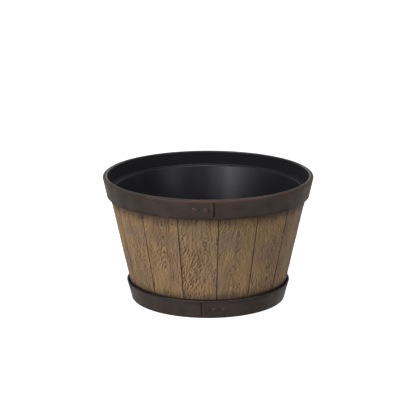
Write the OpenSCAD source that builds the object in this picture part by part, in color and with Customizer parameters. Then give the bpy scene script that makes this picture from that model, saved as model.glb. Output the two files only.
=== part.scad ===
/* [Overall size] */
// Width across the rim at its widest
rim_d = 394; // [360:1:460]
// Width of the foot where it meets the floor
foot_d = 289; // [270:1:310]
// Height from the floor to the crest of the rim
height = 236; // [200:1:300]

/* [Staves] */
// Number of staves around the planter
stave_count = 15; // [12:1:20]
// Thickness of a stave, measured level
stave_t = 8; // [6:0.5:12]
// Gap left between two neighbouring staves
seam_gap = 0.3; // [0.1:0.05:0.6]
// Width of the bevel along each long edge of a stave
seam_bevel = 0.9; // [0.4:0.1:1.5]
// Angle from the front of the planter to the seam on its right
first_seam = 5.9; // [0:0.1:24]
// How much less than an even share, in degrees, each of the four front staves takes up
front_narrowing = 0.6; // [0:0.1:2]

/* [Liner] */
// Thickness of the liner's wall, measured level
liner_wall = 3.2; // [2.4:0.2:5]
// Thickness of the liner's floor
floor_t = 3.2; // [2.4:0.2:6]
// Height of the liner's floor above the ground, measured to its underside
floor_lift = 12; // [9:0.5:30]
// Depth of the inner ledge below the crest of the rim
ledge_drop = 25.3; // [20:0.1:34]
// Rounding of the ledge's inner edge
ledge_round = 3.6; // [1:0.2:4]
// How far the liner's top edge lies below the crest of the rim
liner_drop = 0.2; // [0.2:0.1:2]
// Number of drain holes in the floor
drain_count = 4; // [3:1:8]
// Width of a drain hole
drain_d = 13; // [8:0.5:20]
// Width of the circle that the drain holes lie on
drain_ring_d = 170; // [120:1:200]

/* [Top hoop] */
// Height of the top hoop from its lower edge to the crest
top_hoop_h = 37.6; // [34:0.1:50]
// How far the top hoop stands out from the staves
top_hoop_t = 5.5; // [5:0.1:8]
// Rounding of the crest's outer edge
crest_round = 3.8; // [2:0.1:4]
// Angle from the front of the planter to the end of the lap
top_lap_angle = 2.7; // [-30:0.1:30]
// Distance from the hoop's two edges to the strap end that lies on top
top_lap_margin = 5.8; // [5:0.1:8]
// Distance from the end of the lap to its first rivet
top_rivet_inset = 14.5; // [10:0.5:18]

/* [Foot hoop] */
// Height of the foot hoop
foot_hoop_h = 35; // [30:0.1:48]
// How far the foot hoop stands out from the staves at the floor
foot_hoop_t = 4; // [3.8:0.1:6]
// How far the foot hoop's top edge stands out from the staves
foot_lip_t = 5.7; // [5:0.1:8]
// Width of the open groove between the lip and the staves
lip_groove = 2.2; // [1:0.1:2.2]
// Depth of that groove
lip_groove_h = 9; // [5:0.5:12]
// Thickness of the flange under the staves
flange_t = 3; // [2:0.5:6]
// Width of the flange, measured inwards from the foot's outer edge
flange_w = 21; // [18:0.5:30]
// Angle from the front of the planter to the end of the lap
foot_lap_angle = -3.8; // [-30:0.1:30]
// Distance from the hoop's two edges to the strap end that lies on top
foot_lap_margin = 3.6; // [3.4:0.1:6]
// Distance from the end of the lap to its first rivet
foot_rivet_inset = 20.5; // [12:0.5:21]

/* [Laps and rivets] */
// Length of the lap on both hoops
lap_len = 46; // [44:1:70]
// Thickness of the strap end that lies on top
strap_t = 1.9; // [1.5:0.1:2]
// How far the free end of the strap springs out
strap_spring = 1.2; // [0.6:0.1:2]
// Rounding of the strap end's corners
strap_round = 3; // [1:0.5:6]
// Distance between the two rivets of a lap
rivet_pitch = 20; // [14:0.5:20.5]
// Width of a rivet's head
rivet_head_d = 8; // [6:0.5:9]
// Height of a rivet's head
rivet_head_h = 1.3; // [1:0.1:2]
// Width of a rivet's shank
rivet_shank_d = 3.6; // [3:0.2:4.6]
// Width of the dimple in a rivet's head
rivet_dimple_d = 2.8; // [1.6:0.2:4]

/* [Fits] */
// Clearance between two pieces that seat on each other
fit_gap = 0.25; // [0.15:0.05:0.4]
// Play around a rivet's shank in its hole
rivet_play = 0.15; // [0.1:0.05:0.3]

/* [Hidden] */
function stave_name(i) = str("stave_", i < 10 ? "0" : "", i);
$fn = 120;

liner_colour = [0.14, 0.14, 0.15];
stave_colour = [0.49, 0.40, 0.30];
hoop_colour = [0.25, 0.22, 0.20];
rivet_colour = [0.31, 0.26, 0.22];

// The staves lean outwards on one cone, which every other piece follows. Its lean is the one
// at which the top hoop's face runs into the crest's rounding just where the rim is widest.
foot_r = foot_d / 2;
cone_foot_r = foot_r - foot_hoop_t;
crest_centre = [rim_d / 2 - crest_round, height - crest_round];
to_crest = crest_centre - [cone_foot_r + top_hoop_t, 0];
lean_angle = atan2(to_crest[0], to_crest[1]) + asin(crest_round / norm(to_crest));
lean = tan(lean_angle);
function cone_r(z) = cone_foot_r + lean * z;
// Angles of a stave at the front, of which there are two on each side of the first seam,
// and of every other stave
front_stave_angle = 360 / stave_count - front_narrowing;
other_stave_angle = (360 - 4 * front_stave_angle) / (stave_count - 4);

// Levels, from the floor up
seat_z = flange_t + fit_gap;
groove_z = foot_hoop_h - lip_groove_h;
hoop_seat_z = groove_z - (lip_groove - fit_gap);
top_hoop_z = height - top_hoop_h;
ledge_z = height - ledge_drop;
shoulder_z = ledge_z - liner_wall;
stave_top_z = shoulder_z - fit_gap;
liner_top_z = height - liner_drop;
floor_z = floor_lift + floor_t;

// Small roundings, the dimple's depth, and the steps that an arc is drawn in
edge_round = 0.8;
inner_fillet = 2;
lip_round = 1.2;
rim_joint_round = 0.4;
rivet_dome = 0.8;
rivet_dimple_depth = 0.7;
arc_steps = 6;
// Open slot in front of a strap's free end, and the stretch by which its root is let in
lap_slot = 2;
root_len = 5;
// How far a cut reaches past the surface that it goes through
past = 1;

// Radius of the liner's outer and inner faces, and of the collar above the ledge
function liner_out_r(z) = cone_r(z) - stave_t - fit_gap;
function liner_in_r(z) = liner_out_r(z) - liner_wall;
function collar_in_r(z) = cone_r(z) - liner_wall;

// An outline from corners [x, y, rounding], each rounding drawn as an arc
function unit(v) = v / norm(v);
function flat(p) = [p[0], p[1]];
function direction(v) = atan2(v[1], v[0]);
function turn(from, to) = ((to - from + 540) % 360) - 180;
function corner(before, at, after, r) =
    let (
        u = unit(before - at),
        v = unit(after - at),
        half = acos(u * v) / 2,
        centre = at + unit(u + v) * r / sin(half),
        start = direction(at + u * r / tan(half) - centre),
        sweep = turn(start, direction(at + v * r / tan(half) - centre)))
    [for (i = [0:arc_steps]) let (a = start + sweep * i / arc_steps) centre + r * [cos(a), sin(a)]];
function rounded(corners) =
    let (n = len(corners))
    [for (i = [0:n - 1])
        let (at = corners[i], before = corners[(i + n - 1) % n], after = corners[(i + 1) % n])
        each at[2] > 0 ? corner(flat(before), flat(at), flat(after), at[2]) : [flat(at)]];

// A turn of a profile about the axis, between two angles counted from the front
module swept(outline, from, to)
    rotate([0, 0, from - 90]) rotate_extrude(angle = to - from) polygon(outline);

// Puts its children, drawn at the front on the +X axis, at an angle round the planter
module around(angle)
    rotate([0, 0, angle - 90]) children();

// The inner pot: floor, leaning wall, ledge and collar up to the rim
liner_outline = rounded([
    [0, floor_lift, 0],
    [liner_in_r(floor_lift), floor_lift, inner_fillet],
    [liner_in_r(seat_z), seat_z, 0],
    [liner_out_r(seat_z), seat_z, edge_round],
    [liner_out_r(shoulder_z), shoulder_z, 0],
    [cone_r(shoulder_z), shoulder_z, rim_joint_round],
    [cone_r(liner_top_z), liner_top_z, rim_joint_round],
    [collar_in_r(liner_top_z), liner_top_z, liner_wall / 2],
    [collar_in_r(ledge_z), ledge_z, inner_fillet],
    [liner_in_r(ledge_z), ledge_z, ledge_round],
    [liner_in_r(floor_z), floor_z, 2 * inner_fillet],
    [0, floor_z, 0]]);

module liner()
    color(liner_colour)
    difference() {
        rotate_extrude() polygon(liner_outline);
        for (i = [0:drain_count - 1])
            around((i + 0.5) * 360 / drain_count)
                translate([drain_ring_d / 2, 0, floor_lift - past])
                    cylinder(d = drain_d, h = floor_t + 2 * past);
    }

// One stave: a slice of the leaning shell, with a bevel along both long edges
stave_outline = [
    [cone_r(seat_z) - stave_t, seat_z],
    [cone_r(seat_z), seat_z],
    [cone_r(stave_top_z), stave_top_z],
    [cone_r(stave_top_z) - stave_t, stave_top_z]];

// What two neighbouring staves leave free between them: half of it is cut from each
module seam() {
    reach = rim_d / 2;
    translate([0, -seam_gap / 2, 0])
        cube([reach, seam_gap, height]);
    translate([cone_foot_r, 0, 0])
        rotate([0, lean_angle, 0])
            rotate([0, 0, 45])
                translate([-seam_bevel / sqrt(2), -seam_bevel / sqrt(2), -past])
                    cube([seam_bevel * sqrt(2), seam_bevel * sqrt(2), height / cos(lean_angle)]);
}

// Angle of the seam that a stave starts at, counted from the first seam to the right
function front_staves_before(i) = min(i - 1, 2) + max(i + 1 - stave_count, 0);
function seam_angle(i) =
    let (front = front_staves_before(i))
    first_seam + front * front_stave_angle + (i - 1 - front) * other_stave_angle;

module stave(i)
    color(stave_colour)
    difference() {
        swept(stave_outline, seam_angle(i), seam_angle(i + 1));
        around(seam_angle(i)) seam();
        around(seam_angle(i + 1)) seam();
    }

// Angle that a length takes up along a hoop
function along(length, r) = length / r * 180 / PI;

// Puts its children where a strap's free end, sprung out about its root, carries them.
// Side is 1 where the strap runs to the right from its root, and -1 where it runs left.
module sprung(root, side) {
    pivot = rim_d / 2 * [sin(root), -cos(root), 0];
    translate(pivot)
        rotate([0, 0, -side * asin(strap_spring / lap_len)])
            translate(-pivot)
                children();
}

// The window that a strap end fills, as a block with rounded corners at the free end
module strap_window(low, high, end, side, grow) {
    back = -side * (lap_len + 2 * root_len);
    outline = rounded([
        [back, low - grow, 0],
        [side * grow, low - grow, strap_round],
        [side * grow, high + grow, strap_round],
        [back, high + grow, 0]]);
    around(end)
        rotate([90, 0, 90])
            linear_extrude(height = rim_d)
                polygon(outline);
}

// A slice of a hoop's face between two levels, from a depth below it to a height above it
module face_slice(face, low, high, deep, proud, from, to)
    swept([
        [face(low) - deep, low],
        [face(low) + proud, low],
        [face(high) + proud, high],
        [face(high) - deep, high]], min(from, to), max(from, to));

// Puts its children on a hoop's face at the two rivets of its lap
module at_rivets(face, z, end, side, inset) {
    root = end - side * along(lap_len, face(z));
    for (i = [0, 1])
        sprung(root, side)
            around(end - side * along(inset + i * rivet_pitch, face(z)))
                translate([face(z), 0, z])
                    rotate([0, 90 + atan(face(z + 1) - face(z)), 0])
                        children();
}

// A hoop whose two ends lap: its child, split at the root, with a recess for the strap
// end on top, that strap end, and the holes for two rivets through both layers
module lapped(face, low, high, split_z, end, side, inset) {
    mid = (low + high) / 2;
    bore_depth = face(mid) - cone_r(mid) + past;
    root = end - side * along(lap_len, face(mid));
    root_start = root - side * along(root_len, face(mid));
    slot_end = end + side * along(lap_slot, face(mid));
    difference() {
        union() {
            difference() {
                children();
                intersection() {
                    face_slice(face, low - past, high + past, strap_t + fit_gap, past, root, slot_end);
                    strap_window(low, high, slot_end, side, fit_gap);
                }
                around(root)
                    translate([0, side > 0 ? 0 : -fit_gap, split_z])
                        cube([rim_d, fit_gap, height]);
            }
            sprung(root, side)
                intersection() {
                    face_slice(face, low - past, high + past, strap_t, 0, root_start, end);
                    strap_window(low, high, end, side, 0);
                }
        }
        at_rivets(face, mid, end, side, inset)
            cylinder(d = rivet_shank_d + 2 * rivet_play, h = 2 * bore_depth, center = true);
    }
}

// The two rivets of a lap: shank through both layers, round head with a dimple
module rivets(face, z, end, side, inset) {
    grip = (face(z) - cone_r(z)) * cos(lean_angle) - 2 * fit_gap;
    at_rivets(face, z, end, side, inset)
        rotate_extrude()
            polygon(rounded([
                [0, -grip, 0],
                [rivet_shank_d / 2, -grip, 0],
                [rivet_shank_d / 2, rivet_play, 0],
                [rivet_head_d / 2, rivet_play, 0],
                [rivet_head_d / 2, rivet_head_h, rivet_dome],
                [rivet_dimple_d / 2, rivet_head_h, rivet_play],
                [0, rivet_head_h - rivet_dimple_depth, 0]]));
}

// The hoop at the rim: its strap end on the left lies on top
top_face = function (z) cone_r(z) + top_hoop_t;
top_lap_low = top_hoop_z + top_lap_margin;
top_lap_high = height - top_lap_margin;
top_hoop_outline = rounded([
    [cone_r(top_hoop_z) + fit_gap, top_hoop_z, 0],
    [top_face(top_hoop_z), top_hoop_z, edge_round],
    [top_face(height), height, crest_round],
    [cone_r(height) + fit_gap, height, rim_joint_round]]);

module top_hoop()
    color(hoop_colour)
    lapped(top_face, top_lap_low, top_lap_high, top_hoop_z - past, top_lap_angle, 1, top_rivet_inset)
        rotate_extrude() polygon(top_hoop_outline);

module top_rivets()
    color(rivet_colour)
    rivets(top_face, (top_lap_low + top_lap_high) / 2, top_lap_angle, 1, top_rivet_inset);

// The hoop at the foot, with a flange that carries the staves and the liner, and a lip
// that stands off the staves. Its strap end on the right lies on top.
foot_flare = (cone_r(foot_hoop_h) + foot_lip_t - foot_r) / foot_hoop_h;
foot_face = function (z) foot_r + foot_flare * z;
foot_lap_low = foot_lap_margin;
foot_lap_high = foot_hoop_h - foot_lap_margin;
foot_hoop_outline = rounded([
    [foot_r - flange_w, 0, edge_round],
    [foot_r, 0, lip_round],
    [foot_face(foot_hoop_h), foot_hoop_h, lip_round],
    [cone_r(foot_hoop_h) + lip_groove, foot_hoop_h, lip_round],
    [cone_r(groove_z) + lip_groove, groove_z, 0],
    [cone_r(hoop_seat_z) + fit_gap, hoop_seat_z, 0],
    [cone_r(flange_t) + fit_gap, flange_t, 0],
    [foot_r - flange_w, flange_t, edge_round]]);

module foot_hoop()
    color(hoop_colour)
    lapped(foot_face, foot_lap_low, foot_lap_high, seat_z, foot_lap_angle, -1, foot_rivet_inset)
        rotate_extrude() polygon(foot_hoop_outline);

module foot_rivets()
    color(rivet_colour)
    rivets(foot_face, (foot_lap_low + foot_lap_high) / 2, foot_lap_angle, -1, foot_rivet_inset);

liner();
for (i = [1:stave_count])
    stave(i);
top_hoop();
foot_hoop();
top_rivets();
foot_rivets();
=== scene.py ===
import math
import bmesh
import bpy
import mathutils
import numpy as np
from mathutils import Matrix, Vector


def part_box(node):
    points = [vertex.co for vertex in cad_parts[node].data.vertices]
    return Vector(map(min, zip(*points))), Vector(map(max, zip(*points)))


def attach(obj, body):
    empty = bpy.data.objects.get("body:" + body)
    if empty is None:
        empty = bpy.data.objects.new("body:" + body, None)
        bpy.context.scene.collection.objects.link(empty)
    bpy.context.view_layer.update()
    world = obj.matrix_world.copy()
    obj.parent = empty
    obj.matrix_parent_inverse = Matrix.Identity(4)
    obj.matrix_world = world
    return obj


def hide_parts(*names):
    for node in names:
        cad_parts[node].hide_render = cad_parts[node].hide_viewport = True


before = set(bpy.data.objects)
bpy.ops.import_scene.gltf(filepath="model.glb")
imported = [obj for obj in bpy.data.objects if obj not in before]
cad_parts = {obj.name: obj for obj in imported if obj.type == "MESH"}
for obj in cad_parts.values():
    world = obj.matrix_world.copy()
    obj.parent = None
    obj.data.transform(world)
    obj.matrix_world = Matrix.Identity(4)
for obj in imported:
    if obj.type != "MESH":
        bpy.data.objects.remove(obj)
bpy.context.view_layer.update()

# Driving dimensions of the planter, in metres and degrees, as the solids have them
MM = 0.001
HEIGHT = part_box("top_hoop")[1][2]
TOP_HOOP_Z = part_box("top_hoop")[0][2]
FOOT_HOOP_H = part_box("foot_hoop")[1][2]
STAVE_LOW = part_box("stave_01")[0][2]
STAVE_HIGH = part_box("stave_01")[1][2]
LINER_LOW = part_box("liner")[0][2]
LINER_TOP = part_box("liner")[1][2]
RIM_R = 197 * MM
FOOT_R = 144.5 * MM
STAVE_COUNT = 15
STAVE_T = 8 * MM
SEAM_GAP = 0.3 * MM
SEAM_BEVEL = 0.9 * MM
FIRST_SEAM = 5.9
FRONT_STAVES = 4
FRONT_NARROWING = 0.6
LINER_WALL = 3.2 * MM
FLOOR_T = 3.2 * MM
FLOOR_LIFT = 12 * MM
LEDGE_DROP = 25.3 * MM
LEDGE_ROUND = 3.6 * MM
DRAIN_COUNT = 4
DRAIN_R = 6.5 * MM
DRAIN_RING_R = 85 * MM
TOP_HOOP_T = 5.5 * MM
CREST_ROUND = 3.8 * MM
TOP_LAP_ANGLE = 2.7
TOP_LAP_MARGIN = 5.8 * MM
TOP_RIVET_INSET = 14.5 * MM
FOOT_HOOP_T = 4 * MM
FOOT_LIP_T = 5.7 * MM
LIP_GROOVE = 2.2 * MM
LIP_GROOVE_H = 9 * MM
FLANGE_T = 3 * MM
FLANGE_W = 21 * MM
FOOT_LAP_ANGLE = -3.8
FOOT_LAP_MARGIN = 3.6 * MM
FOOT_RIVET_INSET = 20.5 * MM
LAP_LEN = 46 * MM
LAP_SLOT = 2 * MM
STRAP_T = 1.9 * MM
STRAP_SPRING = 1.2 * MM
STRAP_ROUND = 3 * MM
ROOT_LEN = 5 * MM
RIVETS_PER_LAP = 2
RIVET_PITCH = 20 * MM
RIVET_R = 4 * MM
RIVET_H = 1.3 * MM
RIVET_DOME = 0.8 * MM
RIVET_DIMPLE_R = 1.4 * MM
RIVET_DIMPLE_DEPTH = 0.7 * MM
FIT_GAP = 0.25 * MM
EDGE_ROUND = 0.8 * MM
INNER_FILLET = 2 * MM
LIP_ROUND = 1.2 * MM
RIM_JOINT_ROUND = 0.4 * MM

# Finer forms that only the visual model has
RIVET_DIMPLE_ROUND = 0.15 * MM
RIVET_SUNK = 0.3 * MM
RECESS_WALL = 0.06 * MM
SLIT_DEPTH = 1 * MM
STRAP_SOFT = 0.35 * MM
STRAP_SINK = 0.04 * MM
HOOP_WAVE = 0.1 * MM
LINER_WAVE = 0.12 * MM

# How finely the meshes follow the shapes
STAVE_ROW = 0.95 * MM
STAVE_COLUMNS = 116
STAVE_BACK_COLUMNS = 7
HOOP_ROW = 1.5 * MM
HOOP_STEP = 1.2
STRAP_COLUMNS = 13
LINER_ROW = 5 * MM
LINER_SEGMENTS = 300
SMALL_SEGMENTS = 48
STAGE_SEGMENTS = 96
SHARP_ANGLE = 35
ON_LINE = 1e-7

# The cone that the staves lean on: the top hoop's face runs into the crest's rounding
# where the rim is widest
CONE_FOOT_R = FOOT_R - FOOT_HOOP_T
TO_CREST = (RIM_R - CREST_ROUND - CONE_FOOT_R - TOP_HOOP_T, HEIGHT - CREST_ROUND)
LEAN_ANGLE = math.atan2(*TO_CREST) + math.asin(CREST_ROUND / math.hypot(*TO_CREST))
LEAN = math.tan(LEAN_ANGLE)
FRONT_STAVE_ANGLE = 360 / STAVE_COUNT - FRONT_NARROWING
OTHER_STAVE_ANGLE = (360 - FRONT_STAVES * FRONT_STAVE_ANGLE) / (STAVE_COUNT - FRONT_STAVES)
LEDGE_Z = HEIGHT - LEDGE_DROP
SHOULDER_Z = LEDGE_Z - LINER_WALL
GROOVE_Z = FOOT_HOOP_H - LIP_GROOVE_H
SEAT_Z = GROOVE_Z - LIP_GROOVE + FIT_GAP
FLOOR_Z = FLOOR_LIFT + FLOOR_T


def cone_r(z):
    return CONE_FOOT_R + LEAN * z


def top_face(z):
    return cone_r(z) + TOP_HOOP_T


FOOT_FLARE = (cone_r(FOOT_HOOP_H) + FOOT_LIP_T - FOOT_R) / FOOT_HOOP_H


def foot_face(z):
    return FOOT_R + FOOT_FLARE * z


def seam_angle(i):
    """Angle of the seam that a stave starts at; two narrower staves lie on each side of the front."""
    each_side = FRONT_STAVES // 2
    narrow = min(i - 1, each_side) + max(i - 1 - STAVE_COUNT + each_side, 0)
    return FIRST_SEAM + narrow * FRONT_STAVE_ANGLE + (i - 1 - narrow) * OTHER_STAVE_ANGLE


# Numbers and noise
def smoothstep(low, high, x):
    """0 up to low, 1 from high on, and smooth between them."""
    t = np.clip((x - low) / (high - low), 0, 1)
    return t * t * (3 - 2 * t)


def falling(low, high, x):
    """1 up to low, 0 from high on, and smooth between them."""
    return 1 - smoothstep(low, high, x)


def window(x, start, full, fade, end):
    """1 from full to fade, 0 before start and after end, and smooth between them."""
    return smoothstep(start, full, x) * falling(fade, end, x)


def bell(x, middle, width):
    return np.exp(-((x - middle) / width) ** 2)


def noise(x, y, seed, size=97):
    """Smooth noise from -1 to 1 with one cell per unit of x and y."""
    table = np.random.default_rng(seed).uniform(-1, 1, (size, size))
    column, row = np.floor(x).astype(int), np.floor(y).astype(int)
    fx, fy = smoothstep(0, 1, x - column), smoothstep(0, 1, y - row)
    a, b = table[column % size, row % size], table[(column + 1) % size, row % size]
    c, d = table[column % size, (row + 1) % size], table[(column + 1) % size, (row + 1) % size]
    return (a * (1 - fx) + b * fx) * (1 - fy) + (c * (1 - fx) + d * fx) * fy


def ring_noise(angle, height, cells, cell_h, seed):
    """Noise that closes round the planter, with so many cells in a turn."""
    return noise(angle / 360 * cells, height / cell_h, seed, cells)


def from_front(angle):
    """The angle as it is counted from the front, from -180 at the left to 180 at the right."""
    return (angle + 180) % 360 - 180


# Points and outlines
def turned(r, z, degrees):
    """Points at radius r and height z, at angles from the front, positive to the right."""
    a = np.radians(degrees)
    return np.stack(np.broadcast_arrays(r * np.sin(a), -r * np.cos(a), z), axis=-1)


def spun(points, a, pivot=(0, 0)):
    """Points turned about an upright line through the pivot, by an angle in radians."""
    x, y = points[..., 0] - pivot[0], points[..., 1] - pivot[1]
    return np.stack([
        pivot[0] + x * math.cos(a) - y * math.sin(a),
        pivot[1] + x * math.sin(a) + y * math.cos(a),
        points[..., 2]], axis=-1)


def rounded(corners, steps=6):
    """An outline from corners (x, y, rounding), each rounding drawn as an arc."""
    outline = []
    count = len(corners)
    for i, (x, y, r) in enumerate(corners):
        at = np.array([x, y])
        if r == 0:
            outline.append(at)
            continue
        u = np.array(corners[i - 1][:2]) - at
        v = np.array(corners[(i + 1) % count][:2]) - at
        u, v = u / np.linalg.norm(u), v / np.linalg.norm(v)
        half = math.acos(float(np.clip(u @ v, -1, 1))) / 2
        centre = at + (u + v) / np.linalg.norm(u + v) * r / math.sin(half)
        start = at + u * r / math.tan(half) - centre
        end = at + v * r / math.tan(half) - centre
        first = math.atan2(start[1], start[0])
        sweep = (math.atan2(end[1], end[0]) - first + 3 * math.pi) % (2 * math.pi) - math.pi
        for k in range(steps + 1):
            a = first + sweep * k / steps
            outline.append(centre + r * np.array([math.cos(a), math.sin(a)]))
    return np.array(outline)


def with_levels(outline, face, levels):
    """The outline with points added at these rising levels, wherever it runs along the face."""
    result = []
    for here, there in zip(outline, np.roll(outline, -1, axis=0)):
        result.append(here)
        if max(abs(here[0] - face(here[1])), abs(there[0] - face(there[1]))) < ON_LINE:
            low, high = sorted((here[1], there[1]))
            between = [z for z in levels if low < z < high]
            if here[1] > there[1]:
                between.reverse()
            result.extend(np.array([face(z), z]) for z in between)
    return np.array(result)


# Meshes and pieces
def linked(name, data):
    """A new object in the scene that shows this data."""
    made = bpy.data.objects.new(name, data)
    bpy.context.scene.collection.objects.link(made)
    return made


def new_mesh(name, points, faces):
    mesh = bpy.data.meshes.new(name)
    mesh.from_pydata(points.reshape(-1, 3).tolist(), [], faces)
    return mesh


def new_piece(name, points, faces, nodes, material, attributes=None):
    """A piece of the planter from points and faces, with per-point values for its material."""
    mesh = new_mesh(name, points, faces)
    for label, values in (attributes or {}).items():
        layer = mesh.attributes.new(label, "FLOAT_VECTOR", "POINT")
        layer.data.foreach_set("vector", values.reshape(-1).astype(np.float32))
    shell = bmesh.new()
    shell.from_mesh(mesh)
    bmesh.ops.recalc_face_normals(shell, faces=shell.faces)
    shell.to_mesh(mesh)
    shell.free()
    mesh.shade_smooth()
    mesh.set_sharp_from_angle(angle=math.radians(SHARP_ANGLE))
    mesh.materials.append(material)
    piece = linked(name, mesh)
    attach(piece, "root")
    if nodes:
        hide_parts(*nodes)
    return piece


def tube_faces(rows, columns, turned_on=False, capped=False):
    """Quads between rows of points that each run round a closed loop."""
    faces = []
    for i in range(rows if turned_on else rows - 1):
        here, there = i * columns, (i + 1) % rows * columns
        for j in range(columns):
            k = (j + 1) % columns
            faces.append((here + j, here + k, there + k, there + j))
    if capped:
        faces.append(tuple(range(columns))[::-1])
        faces.append(tuple(range((rows - 1) * columns, rows * columns)))
    return faces


def lathe(outline, segments):
    """Points and faces of an outline turned about the axis, from the axis back to it."""
    degrees = np.arange(segments) * 360 / segments
    body = outline[1:-1]
    points = turned(body[:, :1], body[:, 1:], degrees[None, :])
    rows = len(body)
    ends = turned(np.zeros(2), outline[[0, -1], 1], 0)
    first, last = rows * segments, rows * segments + 1
    faces = []
    for j in range(segments):
        k = (j + 1) % segments
        faces.append((first, k, j))
        faces.append((last, (rows - 1) * segments + j, (rows - 1) * segments + k))
        for i in range(rows - 1):
            a, b = i * segments, (i + 1) * segments
            faces.append((a + j, a + k, b + k, b + j))
    return np.concatenate([points.reshape(-1, 3), ends]), faces


# The staves. Each face is worked out as a flat-sawn board, in millimetres: its growth rings
# show as arches in the middle and as straight lines at the sides
LINE_W = 1.45
LINE_LEN = 3.9
LINE_STEP = 2.1
SPECKLE_W = 1.4
SPECKLE_LEN = 2.5
SPECKLE_STEP = 2.0
HEART_DEPTH = 2.5
DEEPEST = 1.5
BEVEL_CELL = 13 * MM
BEVEL_SEED = 77
# The seed and the strength of the grain on the five staves seen best. The strengths follow the
# photograph's contrast; the seeds were picked from many, but the grain is like the real one in
# style only, and its light and dark places lie no nearer to the real ones than by chance
FRONT_GRAIN = {
    1: (1534, 0.56), 2: (1557, 0.84),
    STAVE_COUNT - 2: (934, 0.85), STAVE_COUNT - 1: (966, 0.71), STAVE_COUNT: (905, 1.17)}


def strokes(x, y, width, length, step, seed):
    """Short strokes of this width and length, each a ridge beside a groove."""
    here = noise(x / width, y / length, seed)
    return 0.8 * (here - noise((x + step) / width, y / length, seed))


def board(u, v, seed, bold):
    """Depth, pores and tone of the grain, at u across the board and v along it."""
    def layer(x, y, width, length, number):
        return noise(x / width, y / length, seed + number)

    draw = np.random.default_rng(seed)
    heart = draw.uniform(-7, 8)
    slope = draw.uniform(0.13, 0.19)
    tilt = draw.uniform(-0.05, 0.05)
    ring = draw.uniform(4.2, 5.4)
    drawn = 1.0 if bold > 1 else draw.uniform(0.9, 1.35)
    # The wood's own warped directions, and how far out from the heart each point grew
    wu = u + tilt * v + 2.4 * layer(u, v, 34, 75, 1) + 0.9 * layer(u, v, 10, 24, 2)
    wv = v + 16 * layer(u, v, 16, 48, 3) + 7 * layer(u, v, 7, 15, 4)
    reach = np.hypot(wu - heart, HEART_DEPTH) + slope * wv
    # The open early wood of each ring, and the places where it shows
    phase = reach / ring + 0.5 * layer(reach, v, 8, 90, 5)
    early = bell(phase - np.floor(phase), 0.25, 0.2)
    seen = smoothstep(-0.2, 0.5, layer(u, v, 13, 27, 6) + 0.5 * layer(u, v, 5, 12, 7))
    # Strokes along the rings, speckle, fibres, and rougher and darker patches
    lines = strokes(reach, v, LINE_W, LINE_LEN * drawn, LINE_STEP, seed + 8)
    lines = lines + 0.25 * layer(reach, v, 2.4, 11, 9)
    speckle = strokes(wu, v, SPECKLE_W, SPECKLE_LEN * drawn, SPECKLE_STEP, seed + 10)
    rough = smoothstep(-0.4, 0.4, layer(u, v, 15, 30, 11) + 0.3 * layer(u, v, 6, 15, 16))
    fibre = layer(wu, v, 1.3, 26, 12) + 0.6 * layer(wu, v, 3.0, 50, 13)
    patch = layer(u, v, 15, 42, 14) + 0.35 * layer(u, v, 7, 19, 15)
    marks = lines + 0.75 * speckle + 0.35 * seen * (early - 0.4)
    grain = (0.4 + 0.64 * rough) * marks + 0.3 * fibre
    depth = 0.25 + bold * (0.5 + 0.55 * grain)
    pores = bold * smoothstep(0.3, 1.3, grain)
    tone = 0.52 - 0.6 * bold * grain + 0.17 * patch
    return np.clip(depth, 0, DEEPEST), np.clip(pores, 0, 1), np.clip(tone, 0, 1)


def stave_grain(i):
    """The seed and the strength of a stave's grain."""
    return FRONT_GRAIN.get(i, (100 + 31 * i, 0.6 + 0.25 * (i * 7 % 5) / 4))


def stave_seams_and_shade(height, angle, to_edge):
    """Dark seams, and a painted shade line over the foot hoop that is broader away from the front."""
    side = np.abs(from_front(angle))
    above = height - FOOT_HOOP_H
    seam = falling(0.3 * MM, 1.5 * MM, to_edge)
    # Painted shade where the staves meet the foot hoop: a thin line, broader away from the front, fainter
    # at the far sides
    line = falling(0.8 * MM, 2.0 * MM, above)
    broad = 0.9 * smoothstep(12, 45, side) * falling(2.5 * MM, 6.2 * MM, above)
    open_side = 1 - 0.75 * smoothstep(60, 80, side)
    return np.maximum(seam, open_side * np.maximum(broad, line))


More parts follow.
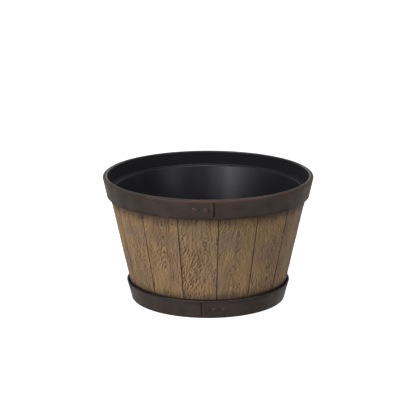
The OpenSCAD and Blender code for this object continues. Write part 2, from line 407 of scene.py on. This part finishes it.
def stave(i, material):
    """A leaning slice of the shell with an embossed face and bevelled long edges."""
    start, end = seam_angle(i), seam_angle(i + 1)
    middle = (start + end) / 2
    rows = np.concatenate([
        [STAVE_LOW, (STAVE_LOW + GROOVE_Z) / 2],
        np.arange(GROOVE_Z, TOP_HOOP_Z + 5 * MM, STAVE_ROW),
        [STAVE_HIGH]])
    r = cone_r(rows)[:, None]
    half = np.radians((end - start) / 2) - np.arcsin(SEAM_GAP / 2 / r)
    edge = np.array([0, 0.25, 0.5, 0.75, 1, 1.4]) * SEAM_BEVEL
    across = np.concatenate([
        -half * r + edge,
        np.linspace(-1, 1, STAVE_COLUMNS) * (half * r - 2 * SEAM_BEVEL),
        half * r - edge[::-1]], axis=1)
    height = np.broadcast_to(rows[:, None], across.shape)
    angle = middle + np.degrees(across / r)
    to_edge = half * r - np.abs(across)
    relief, pores, tone = board(across / MM, height / MM, *stave_grain(i))
    uneven = noise(height / BEVEL_CELL, np.sign(across) + 3 * i, BEVEL_SEED)
    chamfer = np.clip(SEAM_BEVEL * (1.15 + 0.3 * uneven) - to_edge, 0, SEAM_BEVEL)
    carved = relief * MM * smoothstep(0, 2 * SEAM_BEVEL, to_edge)
    outer = turned(cone_r(height) - carved - chamfer, height, angle)
    back_angle = middle + np.degrees(np.linspace(1, -1, STAVE_BACK_COLUMNS) * half)
    back = turned(r - STAVE_T, rows[:, None], back_angle)
    points = np.concatenate([outer, back], axis=1)
    shape, face = points.shape[:2], outer.shape[1]
    look, grain = np.zeros(shape + (3,)), np.zeros(shape + (3,))
    look[:, :face] = np.stack([pores, tone, stave_seams_and_shade(height, angle, to_edge)], axis=-1)
    own_layer = np.full(across.shape, 7.3 * i)
    grain[:, :face] = np.stack([across / MM, height / MM, own_layer], axis=-1)
    new_piece(
        "stave_%02d_board" % i, points, tube_faces(*shape, capped=True),
        ["stave_%02d" % i], material, {"look": look, "grain": grain})


# The hoops: a ring with a recess, and on it the strap end, sprung out about its root
def along(length, r):
    """Angle that a length takes up along a hoop."""
    return math.degrees(length / r)


class Lap:
    """Where a hoop overlaps: the hoop's face, the strap's levels, free end and direction."""

    def __init__(self, face, low, high, end, side):
        self.face = face
        self.low = low
        self.high = high
        self.end = end
        self.side = side
        self.z = (low + high) / 2
        self.r = face(self.z)
        self.root = end - side * along(LAP_LEN, self.r)

    def sprung(self, points):
        """Points turned about the root, which carries the strap's free end outwards."""
        spring = -self.side * math.asin(STRAP_SPRING / LAP_LEN)
        return spun(points, spring, turned(RIM_R, 0, self.root))


TOP_LAP = Lap(
    face=top_face, low=TOP_HOOP_Z + TOP_LAP_MARGIN, high=HEIGHT - TOP_LAP_MARGIN,
    end=TOP_LAP_ANGLE, side=1)
FOOT_LAP = Lap(
    face=foot_face, low=FOOT_LAP_MARGIN, high=FOOT_HOOP_H - FOOT_LAP_MARGIN,
    end=FOOT_LAP_ANGLE, side=-1)


def top_outline():
    return rounded([
        (cone_r(TOP_HOOP_Z) + FIT_GAP, TOP_HOOP_Z, 0),
        (top_face(TOP_HOOP_Z), TOP_HOOP_Z, EDGE_ROUND),
        (top_face(HEIGHT), HEIGHT, CREST_ROUND),
        (cone_r(HEIGHT) + FIT_GAP, HEIGHT, RIM_JOINT_ROUND)], 10)


def foot_outline():
    """The foot hoop's outline, with its lip, the open groove, the staves' seat and the flange."""
    return rounded([
        (FOOT_R - FLANGE_W, 0, EDGE_ROUND),
        (FOOT_R, 0, LIP_ROUND),
        (foot_face(FOOT_HOOP_H), FOOT_HOOP_H, LIP_ROUND),
        (cone_r(FOOT_HOOP_H) + LIP_GROOVE, FOOT_HOOP_H, LIP_ROUND),
        (cone_r(GROOVE_Z) + LIP_GROOVE, GROOVE_Z, 0),
        (cone_r(SEAT_Z) + FIT_GAP, SEAT_Z, 0),
        (cone_r(FLANGE_T) + FIT_GAP, FLANGE_T, 0),
        (FOOT_R - FLANGE_W, FLANGE_T, EDGE_ROUND)], 8)


def hoop_ring(name, node, outline, lap, wear, material):
    """The ring, from its outline, with the strap's recess and the split let into its face."""
    low, high = lap.low - FIT_GAP, lap.high + FIT_GAP
    levels = np.sort(np.concatenate([
        np.arange(low + HOOP_ROW, high - MM, HOOP_ROW),
        [low, low + RECESS_WALL, high - RECESS_WALL, high]]))
    outline = with_levels(outline, lap.face, levels)
    r, z = outline[:, 0], outline[:, 1]
    on_face = np.abs(r - lap.face(z)) < ON_LINE
    recess = along(LAP_LEN + LAP_SLOT, lap.r)
    step, slit = along(RECESS_WALL, lap.r), along(FIT_GAP, lap.r)
    shade = along(1.3 * MM, lap.r)
    ahead = np.sort(np.concatenate([
        np.arange(0.8, recess - 1.4, HOOP_STEP),
        np.arange(recess + 2 * shade + 0.4, 360 - slit - 0.4, HOOP_STEP),
        [0, step, recess - step, recess],
        [recess + shade / 2, recess + shade, recess + 2 * shade],
        [360 - slit, 360 - slit + step]]))
    inside = (ahead > step / 2) & (ahead < recess - step / 2)
    at_slit = (ahead < step / 2) | (ahead > 360 - slit + step / 2)
    windowed = on_face & (z > low + RECESS_WALL / 2) & (z < high - RECESS_WALL / 2)
    angle, height = np.meshgrid(lap.root + lap.side * ahead, z, indexing="ij")
    radius = np.broadcast_to(r, angle.shape).copy()
    radius[np.ix_(inside, windowed)] -= STRAP_T + FIT_GAP
    radius[np.ix_(at_slit, on_face & (z > FLANGE_T + FIT_GAP))] -= SLIT_DEPTH
    uneven = ring_noise(angle, height, 31, 15 * MM, 41)
    uneven = uneven + 0.5 * ring_noise(angle, height, 97, 7 * MM, 42)
    radius -= np.where(on_face, HOOP_WAVE * (1.5 + uneven), 0)
    look = np.stack(wear(height, angle, on_face), axis=-1)
    # The face is painted dark just past the open slot, a painted shadow beside it
    slot_shadow = falling(recess + shade / 2, recess + 2 * shade, ahead)
    slot_shadow = slot_shadow * ((ahead > recess / 2) & (ahead < 180))
    dark = 0.75 * slot_shadow[:, None] * windowed
    look[..., 1] = np.maximum(look[..., 1], dark)
    look[..., 0] *= 1 - dark
    new_piece(
        name, turned(radius, height, angle), tube_faces(*angle.shape, turned_on=True),
        [node], material, {"look": look})


def strap(name, lap, wear, rivet_shadows, material):
    """The strap end: a plate with rounded corners and edges that follows the hoop's face."""
    bend = np.radians(np.linspace(0, 90, 9))
    back = np.concatenate([
        STRAP_ROUND * (1 - np.cos(bend)),
        np.arange(STRAP_ROUND + HOOP_ROW, LAP_LEN + ROOT_LEN, HOOP_ROW)])
    half = (lap.high - lap.low) / 2 - STRAP_ROUND + STRAP_ROUND * np.sqrt(
        1 - np.clip(1 - back / STRAP_ROUND, 0, 1) ** 2)
    # Across the strap: its lower edge, its face, its upper edge, and the two edges of its back
    level = np.concatenate([[-1], np.linspace(-0.975, 0.975, STRAP_COLUMNS), [1], [1, -1]])
    z = lap.z + half[:, None] * level
    sink = np.where(np.abs(level) < 1, STRAP_SINK, STRAP_SOFT)
    sink[-2:] = STRAP_T
    rim = np.isclose(sink, STRAP_SOFT)
    sink = np.broadcast_to(sink, z.shape).copy()
    sink[0, :-2] = STRAP_SOFT
    angle = lap.end - lap.side * np.degrees(back / lap.r)[:, None]
    points = lap.sprung(turned(lap.face(z) - sink, z, angle))
    at_tip = falling(2.2 * MM, 4.6 * MM, back)[:, None]
    copper = wear * np.maximum(at_tip, 0.2 * rim)
    # Painted shadows beside the rivets
    shade_and_dark_paint = sum(0.9 * bell(back[:, None], at, 2 * MM) * bell(z, lap.z, 3 * MM) for at in rivet_shadows)
    look = np.stack([copper, shade_and_dark_paint, np.zeros(z.shape)], axis=-1)
    new_piece(
        name, points, tube_faces(*z.shape, capped=True), [], material, {"look": look})


def rivets(name, node, lap, inset, wear, material):
    """The dimpled heads of a lap in one piece, each square to the strap that carries it."""
    outline = rounded([
        (0, -RIVET_SUNK, 0),
        (RIVET_R, -RIVET_SUNK, 0),
        (RIVET_R, RIVET_H, RIVET_DOME),
        (RIVET_DIMPLE_R, RIVET_H, RIVET_DIMPLE_ROUND),
        (0, RIVET_H - RIVET_DIMPLE_DEPTH, 0)])
    head, faces = lathe(outline, SMALL_SEGMENTS)
    sideways, up, out = head.T
    lean = math.atan(lap.face(lap.z + 1) - lap.r)
    seated = np.stack([
        sideways,
        -(lap.r + out * math.cos(lean) + up * math.sin(lean)),
        lap.z - out * math.sin(lean) + up * math.cos(lean)], axis=-1)
    points, all_faces = [], []
    for i in range(RIVETS_PER_LAP):
        a = math.radians(lap.end - lap.side * along(inset + i * RIVET_PITCH, lap.r))
        points.append(lap.sprung(spun(seated, a)))
        all_faces.extend(tuple(c + i * len(head) for c in face) for face in faces)
    radius = np.hypot(sideways, up)
    worn = wear * smoothstep(RIVET_DIMPLE_R, 0.6 * RIVET_R, radius) * (out > 0.5 * RIVET_H)
    # The dimple is painted darker
    dimple = falling(0, 1.2 * RIVET_DIMPLE_R, radius)
    look = np.stack([worn, dimple, np.zeros(radius.shape)], axis=-1)
    new_piece(
        name, np.concatenate(points), all_faces, [node], material,
        {"look": np.tile(look, (RIVETS_PER_LAP, 1))})


def liner(material):
    """The inner pot, with a slightly uneven wall and the drain holes cut through its floor."""
    low, top = LINER_LOW, LINER_TOP

    def outside(z):
        return cone_r(z) - STAVE_T - FIT_GAP

    def inside(z):
        return outside(z) - LINER_WALL

    def collar(z):
        return cone_r(z) - LINER_WALL

    outline = rounded([
        (0, FLOOR_LIFT, 0),
        (inside(FLOOR_LIFT), FLOOR_LIFT, INNER_FILLET),
        (inside(low), low, 0),
        (outside(low), low, EDGE_ROUND),
        (outside(SHOULDER_Z), SHOULDER_Z, 0),
        (cone_r(SHOULDER_Z), SHOULDER_Z, RIM_JOINT_ROUND),
        (cone_r(top), top, RIM_JOINT_ROUND),
        (collar(top), top, LINER_WALL / 2),
        (collar(LEDGE_Z), LEDGE_Z, INNER_FILLET),
        (inside(LEDGE_Z), LEDGE_Z, LEDGE_ROUND),
        (inside(FLOOR_Z), FLOOR_Z, 2 * INNER_FILLET),
        (0, FLOOR_Z, 0)], 8)
    levels = np.arange(FLOOR_Z + 8 * MM, LEDGE_Z - 6 * MM, LINER_ROW)
    points, faces = lathe(with_levels(outline, inside, levels), LINER_SEGMENTS)
    radius, height = np.hypot(points[:, 0], points[:, 1]), points[:, 2]
    angle = np.degrees(np.arctan2(points[:, 0], -points[:, 1]))
    on_wall = np.abs(radius - inside(height)) < 10 * ON_LINE
    uneven = ring_noise(angle, height, 23, 60 * MM, 51)
    uneven = uneven + 0.4 * ring_noise(angle, height, 61, 30 * MM, 52)
    grow = np.where(on_wall, 1 + LINER_WAVE * uneven / np.maximum(radius, MM), 1)
    points[:, :2] *= grow[:, None]
    piece = new_piece("liner_pot", points, faces, ["liner"], material)
    drill_low, drill_high = -FLOOR_T, 2 * FLOOR_T
    drill_points, drill_faces = lathe(np.array([
        (0, drill_low), (DRAIN_R, drill_low), (DRAIN_R, drill_high), (0, drill_high)]), SMALL_SEGMENTS)
    for i in range(DRAIN_COUNT):
        centre = turned(DRAIN_RING_R, FLOOR_LIFT, (i + 0.5) * 360 / DRAIN_COUNT)
        drill = linked("drill", new_mesh("drill", drill_points + centre, drill_faces))
        cut = piece.modifiers.new("cut", "BOOLEAN")
        cut.operation, cut.object, cut.solver = "DIFFERENCE", drill, "EXACT"
        bpy.context.view_layer.update()
        evaluated = piece.evaluated_get(bpy.context.evaluated_depsgraph_get())
        drilled = bpy.data.meshes.new_from_object(evaluated)
        piece.modifiers.clear()
        piece.data = drilled
        bpy.data.objects.remove(drill)
    piece.data.set_sharp_from_angle(angle=math.radians(SHARP_ANGLE))


# Wear and painted light on the hoops: copper where the paint is rubbed, painted shade and a duller crest,
# and bare plastic that also stands for painted highlights. Stretches are in degrees from the front,
# positive to the right, as window() takes them
TOP_BARE_AND_LIT = (-32, -24, -15, -7)
TOP_UNRUBBED = (-84, -66, -38, -28)
TOP_DULL_CREST = (-60, -22, 2, 50)
TOP_DARK_SIDES = (22, 38, 66, 80)
# Where the foot lip has a painted highlight, and stretches where its top has no painted shade
FOOT_LIP_HIGHLIGHT = (-40, -28, 34, 48)
FOOT_UNSHADED = ((-34, -26, -15, -9), (3, 7, 14, 19))
# How far the painted shadows beside the rivets lie behind a strap's tip
TOP_RIVET_SHADOWS = (7.2 * MM, 24.7 * MM)
FOOT_RIVET_SHADOWS = (15.5 * MM, 30.5 * MM)


def top_wear(height, angle, on_face):
    place = from_front(angle)
    patchy = ring_noise(angle, height, 29, 40 * MM, 61)
    streaks = np.clip(ring_noise(angle, height, 61, 3 * MM, 63), 0, 1) * on_face
    # Grey bare plastic at the top of the crest, broader at the front left; it also stands for a painted
    # highlight on the crest's rounding
    broad_bare_and_lit = window(place, *TOP_BARE_AND_LIT)
    bare_z = HEIGHT - (0.2 + 2.1 * broad_bare_and_lit + 0.2 * patchy) * MM
    bare_and_highlight = smoothstep(bare_z - 0.25 * MM, bare_z + 0.25 * MM, height)
    rubbed = 1 - 0.8 * window(place, *TOP_UNRUBBED)
    worn_z = HEIGHT - (5.2 + broad_bare_and_lit + smoothstep(10, 40, place) + patchy) * MM
    worn = smoothstep(worn_z - 1.7 * MM, worn_z + 1.7 * MM, height) * rubbed * (0.85 + 0.3 * patchy)
    # Painted shade on the crest at the sides, along the hoop's lower edge and over its left side, and a
    # duller crest from the left to the front
    below_crest = smoothstep(HEIGHT - 6 * MM, HEIGHT - 4 * MM, height)
    on_crest = smoothstep(HEIGHT - 4.6 * MM, HEIGHT - 1.8 * MM, height)
    shade_and_dark_paint = np.maximum.reduce([
        0.5 * below_crest * window(np.abs(place), *TOP_DARK_SIDES),
        0.5 * on_crest * window(place, *TOP_DULL_CREST),
        0.6 * falling(TOP_HOOP_Z + 1.5 * MM, TOP_HOOP_Z + 5 * MM, height),
        0.14 * falling(-40, -24, place)])
    return np.clip(worn + 0.2 * streaks, 0, 1), shade_and_dark_paint, bare_and_highlight


def foot_wear(height, angle, on_face):
    place = from_front(angle)
    top = FOOT_HOOP_H
    patchy = ring_noise(angle, height, 37, 40 * MM, 65)
    streaks = np.clip(ring_noise(angle, height, 61, 3 * MM, 64), 0, 1) * on_face
    # Painted highlights: a grey line high on the face, partly bare plastic, and a brighter one on the lip
    # towards the front
    lit_lip = window(place, *FOOT_LIP_HIGHLIGHT)
    unshaded = np.maximum.reduce([window(place, *stretch) for stretch in FOOT_UNSHADED])
    face_bare_and_lit = window(height, top - 3.4 * MM, top - 2.4 * MM, top - 0.6 * MM, top - 0.2 * MM) * on_face
    foot_lip_highlight = 1.75 * lit_lip * smoothstep(top - 1.4 * MM, top - MM, height)
    # Painted shade in the groove, on the lip's top except at a few lit stretches, in a line under the lip
    # and along the bottom edge
    in_groove = (height > GROOVE_Z - LIP_GROOVE) & ~on_face & (height < top - 0.3 * MM)
    crown = smoothstep(top - 0.5 * MM, top - 0.1 * MM, height) * np.clip(0.45 - 0.6 * patchy, 0, 1)
    under_lip = 1.7 * bell(height, top - 5 * MM, 1.1 * MM) * smoothstep(-20, -5, place)
    shade_and_dark_paint = np.maximum.reduce([
        in_groove,
        crown * (1 - unshaded) * (1 - 0.5 * lit_lip),
        0.6 * under_lip,
        0.6 * falling(MM, 4 * MM, height)])
    return 0.2 * streaks, np.clip(shade_and_dark_paint, 0, 1), np.maximum(face_bare_and_lit, foot_lip_highlight)


# Materials, with their colours as linear red, green and blue
def rgb(red, green, blue):
    return (red, green, blue, 1.0)


WOOD_DARK = rgb(0.18, 0.109, 0.066)
WOOD_LIGHT = rgb(0.52, 0.334, 0.160)
WOOD_CLOUD = rgb(0.235, 0.165, 0.13)
WOOD_PORE = rgb(0.085, 0.055, 0.04)
# The wash near the hoops, partly paint and partly painted shade, and the seams with a painted shade line
# over the foot hoop
WOOD_WASH_AND_SHADE = rgb(0.046, 0.028, 0.020)
WOOD_SEAM_AND_SHADE = rgb(0.025, 0.017, 0.013)
BRONZE = rgb(0.0700, 0.0498, 0.0410)
COPPER = rgb(0.118, 0.062, 0.036)
RIVET_BRONZE = rgb(0.08, 0.054, 0.042)
RIVET_COPPER = rgb(0.17, 0.098, 0.058)
# Bare plastic, which also stands for painted highlights, and a brighter painted highlight on the foot lip
BARE_PLASTIC_AND_HIGHLIGHT = rgb(0.046, 0.046, 0.048)
LIP_HIGHLIGHT_PLASTIC = rgb(0.125, 0.110, 0.098)
# The dark that the hoops and rivets are mixed towards: mostly painted shade, also a duller crest and the
# rivets' dimples
DARK_PAINT_AND_SHADE = rgb(0.014, 0.012, 0.012)
LINER_BLACK = rgb(0.0118, 0.0112, 0.0162)
LINER_GREY = rgb(0.0162, 0.0155, 0.0208)
# The liner's collar painted darker as shade, and a painted highlight on its lip
LINER_COLLAR_SHADE = rgb(0.0050, 0.0047, 0.0074)
LINER_LIP_HIGHLIGHT = rgb(0.125, 0.125, 0.125)


class Nodes:
    """Adds nodes to a material or world by type, with values or links for their inputs."""

    def __init__(self, owner):
        owner.use_nodes = True
        self.owner = owner
        self.tree = owner.node_tree

    def add(self, kind, inputs=None, **settings):
        made = self.tree.nodes.new(kind)
        for key, value in settings.items():
            setattr(made, key, value)
        for key, value in (inputs or {}).items():
            self.feed(made.inputs[key], value)
        return made

    def feed(self, socket, value):
        if isinstance(value, bpy.types.NodeSocket):
            self.tree.links.new(value, socket)
        else:
            socket.default_value = value

    def set(self, node, **inputs):
        for key, value in inputs.items():
            self.feed(self.tree.nodes[node].inputs[key.replace("_", " ")], value)

    def math(self, operation, a, b=0.0, clamp=False):
        return self.add("ShaderNodeMath", {0: a, 1: b}, operation=operation, use_clamp=clamp).outputs[0]

    def times(self, a, b):
        return self.math("MULTIPLY", a, b)

    def most(self, a, b):
        return self.math("MAXIMUM", a, b)

    def mix(self, factor, a, b):
        made = self.add("ShaderNodeMix", data_type="RGBA")
        self.feed(made.inputs["Factor"], factor)
        self.feed(made.inputs["A"], a)
        self.feed(made.inputs["B"], b)
        return made.outputs["Result"]

    def mix_value(self, factor, a, b):
        return self.math("ADD", self.times(self.math("SUBTRACT", b, a), factor), a)

    def ramp(self, value, low, high, start=0.0, end=1.0):
        made = self.add("ShaderNodeMapRange", {
            "Value": value, "From Min": low, "From Max": high, "To Min": start, "To Max": end})
        made.interpolation_type = "SMOOTHSTEP"
        return made.outputs[0]

    def noise(self, vector, scale, detail=3.0, rough=0.55):
        return self.add("ShaderNodeTexNoise", {
            "Vector": vector, "Scale": scale, "Detail": detail, "Roughness": rough}).outputs[0]

    def attribute(self, name):
        return self.add("ShaderNodeAttribute", attribute_name=name).outputs["Vector"]

    def split(self, vector):
        return self.add("ShaderNodeSeparateXYZ", {0: vector}).outputs

    def place(self):
        return self.add("ShaderNodeTexCoord").outputs["Object"]

    def scaled(self, vector, x, y, z):
        return self.add("ShaderNodeVectorMath", {0: vector, 1: (x, y, z)}, operation="MULTIPLY").outputs[0]

    def bump(self, height, strength, distance):
        return self.add("ShaderNodeBump", {
            "Strength": strength, "Distance": distance, "Height": height}).outputs[0]


def new_material(name):
    return Nodes(bpy.data.materials.new(name))


def wood_material():
    """Tone and pores of the grain, fibres and clouds, and a dark wash against the hoops that is partly
    painted shade.
    """
    n = new_material("painted wood grain")
    pores, tone, dark = n.split(n.attribute("look"))[:3]
    grain = n.attribute("grain")
    fibre = n.noise(n.scaled(grain, 1.3, 0.04, 1), 1.0, 5, 0.6)
    fine = n.noise(n.scaled(grain, 2.2, 0.2, 1), 1.0, 3, 0.6)
    cloud = n.noise(n.place(), 21.0, 3, 0.5)
    light = n.math("ADD", tone, n.ramp(fibre, 0.3, 0.7, -0.28, 0.28), clamp=True)
    base = n.mix(light, WOOD_DARK, WOOD_LIGHT)
    base = n.mix(n.ramp(cloud, 0.42, 0.7, 0.0, 0.45), base, WOOD_CLOUD)
    speck = n.most(pores, n.ramp(fine, 0.6, 0.72, 0.0, 0.5))
    base = n.mix(n.times(speck, 0.5), base, WOOD_PORE)
    height = n.split(n.place())[2]
    uneven = n.ramp(n.noise(n.place(), 60.0, 3), 0.3, 0.7, -3 * MM, 3 * MM)
    level = n.math("ADD", height, uneven)
    # Under the top hoop and over the foot hoop a dark wash, partly paint and partly painted shade; right
    # at the foot hoop, a painted shade line
    under_hoop = n.ramp(level, TOP_HOOP_Z - 26 * MM, TOP_HOOP_Z - MM, 0.0, 0.78)
    over_foot = n.ramp(level, FOOT_HOOP_H + 21 * MM, FOOT_HOOP_H - MM, 0.0, 0.66)
    foot_contact_shade = n.ramp(height, FOOT_HOOP_H + 3.8 * MM, FOOT_HOOP_H + MM, 0.0, 0.97)
    base = n.mix(n.most(n.most(under_hoop, over_foot), foot_contact_shade), base, WOOD_WASH_AND_SHADE)
    # Dark seams, and the painted shade line over the foot hoop
    base = n.mix(n.times(dark, 0.85), base, WOOD_SEAM_AND_SHADE)
    gloss = n.ramp(fibre, 0.3, 0.7, 0.62, 0.5)
    relief = n.math("SUBTRACT", fibre, n.times(n.ramp(fine, 0.55, 0.75), 0.6))
    normal = n.bump(relief, 0.5, 0.25 * MM)
    n.set("Principled BSDF", Base_Color=base, Roughness=gloss, IOR=1.45, Normal=normal)
    return n.owner


def bronze_material(name, paint, copper, bump_h):
    """Mottled dark paint, rubbed to copper, darkened mostly by painted shade, or gone down to bare plastic
    that also stands for painted highlights.
    """
    n = new_material(name)
    worn, shade_and_dark_paint, bare_and_highlight = n.split(n.attribute("look"))[:3]
    broad = n.noise(n.place(), 38.0, 4, 0.55)
    fine = n.noise(n.place(), 420.0, 3, 0.6)
    mottle = n.math("ADD", n.times(broad, 0.7), n.times(fine, 0.3))
    darker = rgb(*(0.84 * c for c in paint[:3]))
    lighter = rgb(*(1.16 * c for c in paint[:3]))
    base = n.mix(n.ramp(mottle, 0.38, 0.62), darker, lighter)
    scuffs = n.ramp(n.noise(n.place(), 130.0, 4, 0.65), 0.3, 0.55, 0.35, 1.0)
    rubbed = n.times(worn, scuffs)
    base = n.mix(rubbed, base, copper)
    # Bare plastic up to 1, and a brighter painted highlight up to 2
    highlight_level = n.math("SUBTRACT", bare_and_highlight, 1.0, clamp=True)
    plastic = n.mix(highlight_level, BARE_PLASTIC_AND_HIGHLIGHT, LIP_HIGHLIGHT_PLASTIC)
    base = n.mix(n.math("MINIMUM", bare_and_highlight, 1.0), base, plastic)
    base = n.mix(n.times(shade_and_dark_paint, 0.75), base, DARK_PAINT_AND_SHADE)
    gloss = n.mix_value(rubbed, n.ramp(mottle, 0.35, 0.65, 0.58, 0.44), 0.66)
    normal = n.bump(n.math("ADD", fine, n.times(broad, 0.8)), 0.35, bump_h)
    n.set("Principled BSDF", Base_Color=base, Roughness=gloss, IOR=1.5, Normal=normal)
    return n.owner


def liner_material():
    """Black plastic with a soft sheen, a matte collar painted darker as shade, and a lip with a painted
    highlight that is paler at the sides.
    """
    n = new_material("black moulded plastic")
    fine = n.noise(n.place(), 900.0, 2, 0.5)
    broad = n.noise(n.place(), 17.0, 3, 0.5)
    height = n.split(n.place())[2]
    sideways = n.math("ABSOLUTE", n.split(n.place())[0])
    above_ledge = n.ramp(height, LEDGE_Z + 0.3 * MM, LEDGE_Z + 1.5 * MM)
    below_lip = n.ramp(height, LINER_TOP - 1.2 * MM, LINER_TOP - 2.2 * MM)
    collar = n.times(above_ledge, below_lip)
    crown = n.ramp(height, LINER_TOP - 1.1 * MM, LINER_TOP - 0.5 * MM)
    rim_highlight = n.times(crown, n.ramp(sideways, 0.80 * RIM_R, 0.96 * RIM_R, 0.1, 1.0))
    base = n.mix(n.ramp(broad, 0.35, 0.65), LINER_BLACK, LINER_GREY)
    # Painted shade on the collar
    base = n.mix(collar, base, LINER_COLLAR_SHADE)
    # A painted highlight on the lip, paler towards the sides
    base = n.mix(rim_highlight, base, LINER_LIP_HIGHLIGHT)
    gloss = n.mix_value(collar, n.ramp(broad, 0.3, 0.7, 0.34, 0.44), 0.97)
    normal = n.bump(fine, 0.3, 0.05 * MM)
    n.set("Principled BSDF", Base_Color=base, Roughness=gloss, IOR=1.5, Normal=normal)
    return n.owner


def floor_material():
    n = new_material("pale studio floor")
    cloud = n.noise(n.place(), 3.0, 2, 0.5)
    base = n.mix(n.ramp(cloud, 0.3, 0.7), rgb(0.82, 0.82, 0.82), rgb(0.84, 0.84, 0.84))
    n.set(
        "Principled BSDF", Base_Color=base, Roughness=0.9,
        Emission_Color=rgb(1, 1, 1), Emission_Strength=0.85)
    return n.owner


def backdrop_material():
    n = new_material("pale studio wall")
    n.set(
        "Principled BSDF", Base_Color=rgb(0.8, 0.8, 0.8),
        Emission_Color=rgb(1, 1, 1), Emission_Strength=1.0)
    return n.owner


# Studio: pale floor and wall, soft boxes round the planter, and the photograph's view
FLOOR_Z_STAGED = -0.2 * MM
LIGHT_AIM = (0, 0, 0.15)
CAMERA_ELEVATION = 14.86
CAMERA_DISTANCE = 3.428
CAMERA_AIM = (-0.2 * MM, 0, 170.07 * MM)
CAMERA_SENSOR = 36
CAMERA_LENS = 157.8


def staged(name, outline, material):
    """A surface of the studio: an outline turned about the axis, which only the camera sees."""
    degrees = np.arange(STAGE_SEGMENTS) * 360 / STAGE_SEGMENTS
    outline = np.array(outline)
    points = turned(outline[:, :1], outline[:, 1:], degrees[None, :])
    mesh = new_mesh(name, points, tube_faces(len(outline), STAGE_SEGMENTS))
    mesh.shade_smooth()
    mesh.materials.append(material)
    piece = linked(name, mesh)
    piece.visible_diffuse = False
    piece.visible_glossy = False
    piece.visible_shadow = False


def soft_box(name, azimuth, elevation, distance, width, height, radiance, glossy=True):
    """A soft box that faces the planter; azimuth counts from the front, positive to the right."""
    data = bpy.data.lights.new(name, "AREA")
    data.shape, data.size, data.size_y = "RECTANGLE", width, height
    data.energy = radiance * math.pi * width * height
    light = linked(name, data)
    a, e = math.radians(azimuth), math.radians(elevation)
    offset = np.array([math.sin(a) * math.cos(e), -math.cos(a) * math.cos(e), math.sin(e)])
    light.location = np.array(LIGHT_AIM) + distance * offset
    light.rotation_euler = mathutils.Vector(-offset).to_track_quat("-Z", "Y").to_euler()
    light.visible_camera = False
    light.visible_glossy = glossy


def studio_world(dim, bright):
    """A dim room whose far side, behind the planter, is a bright wall."""
    n = Nodes(bpy.data.worlds.new("studio"))
    x, y, z = n.split(n.add("ShaderNodeTexCoord").outputs["Generated"])[:3]
    behind = n.times(n.ramp(y, 0.1, 0.7), n.ramp(z, 0.65, 0.2))
    colour = n.mix(behind, rgb(dim, dim, 1.05 * dim), rgb(bright, bright, bright))
    n.set("Background", Color=colour)
    bpy.context.scene.world = n.owner


def studio():
    """The key and the kicker give the sheen inside; the three front boxes only fill in."""
    staged("studio_floor", [(r, FLOOR_Z_STAGED) for r in (MM, 0.16, 0.5, 2, 14)], floor_material())
    staged("studio_wall", [(13.5, -0.1), (13.5, 6)], backdrop_material())
    studio_world(dim=0.13, bright=0.6)
    soft_box("key", -33, 15, 2.4, width=0.6, height=0.8, radiance=9.9)
    soft_box("kicker", 46, 14, 2.4, width=1.0, height=0.8, radiance=1.7)
    soft_box("glow", -8, 18, 2.4, width=0.5, height=0.8, radiance=2.0)
    soft_box("overhead", 0, 85, 2.0, width=1.6, height=1.6, radiance=2.2)
    soft_box("front_left", -55, 18, 2.4, width=1.2, height=1.2, radiance=2.9, glossy=False)
    soft_box("front", -5, 12, 3.2, width=1.2, height=1.0, radiance=2.15, glossy=False)
    soft_box("front_right", 55, 18, 2.4, width=1.2, height=1.2, radiance=1.6, glossy=False)


def camera():
    """The photograph's view: a long lens from the front, nearly 15 degrees above level."""
    elevation = math.radians(CAMERA_ELEVATION)
    data = bpy.data.cameras.new("camera")
    data.sensor_width, data.lens = CAMERA_SENSOR, CAMERA_LENS
    data.clip_start, data.clip_end = 0.1, 60
    made = linked("camera", data)
    x, y, z = CAMERA_AIM
    made.location = (
        x, y - CAMERA_DISTANCE * math.cos(elevation), z + CAMERA_DISTANCE * math.sin(elevation))
    made.rotation_euler = (math.pi / 2 - elevation, 0, 0)
    bpy.context.scene.camera = made


camera()
studio()
bpy.context.scene.view_settings.view_transform = "Standard"

wood = wood_material()
bronze = bronze_material("painted bronze", BRONZE, COPPER, 0.12 * MM)
rivet_bronze = bronze_material("rubbed bronze", RIVET_BRONZE, RIVET_COPPER, 0.06 * MM)
for number in range(1, STAVE_COUNT + 1):
    stave(number, wood)
liner(liner_material())
hoop_ring("top_hoop_band", "top_hoop", top_outline(), TOP_LAP, top_wear, bronze)
hoop_ring("foot_hoop_band", "foot_hoop", foot_outline(), FOOT_LAP, foot_wear, bronze)
strap("top_hoop_strap", TOP_LAP, wear=0.85, rivet_shadows=TOP_RIVET_SHADOWS, material=bronze)
strap("foot_hoop_strap", FOOT_LAP, wear=0.5, rivet_shadows=FOOT_RIVET_SHADOWS, material=bronze)
rivets("top_rivet_heads", "top_rivets", TOP_LAP, TOP_RIVET_INSET, wear=0.85, material=rivet_bronze)
rivets("foot_rivet_heads", "foot_rivets", FOOT_LAP, FOOT_RIVET_INSET, wear=0.35, material=rivet_bronze)
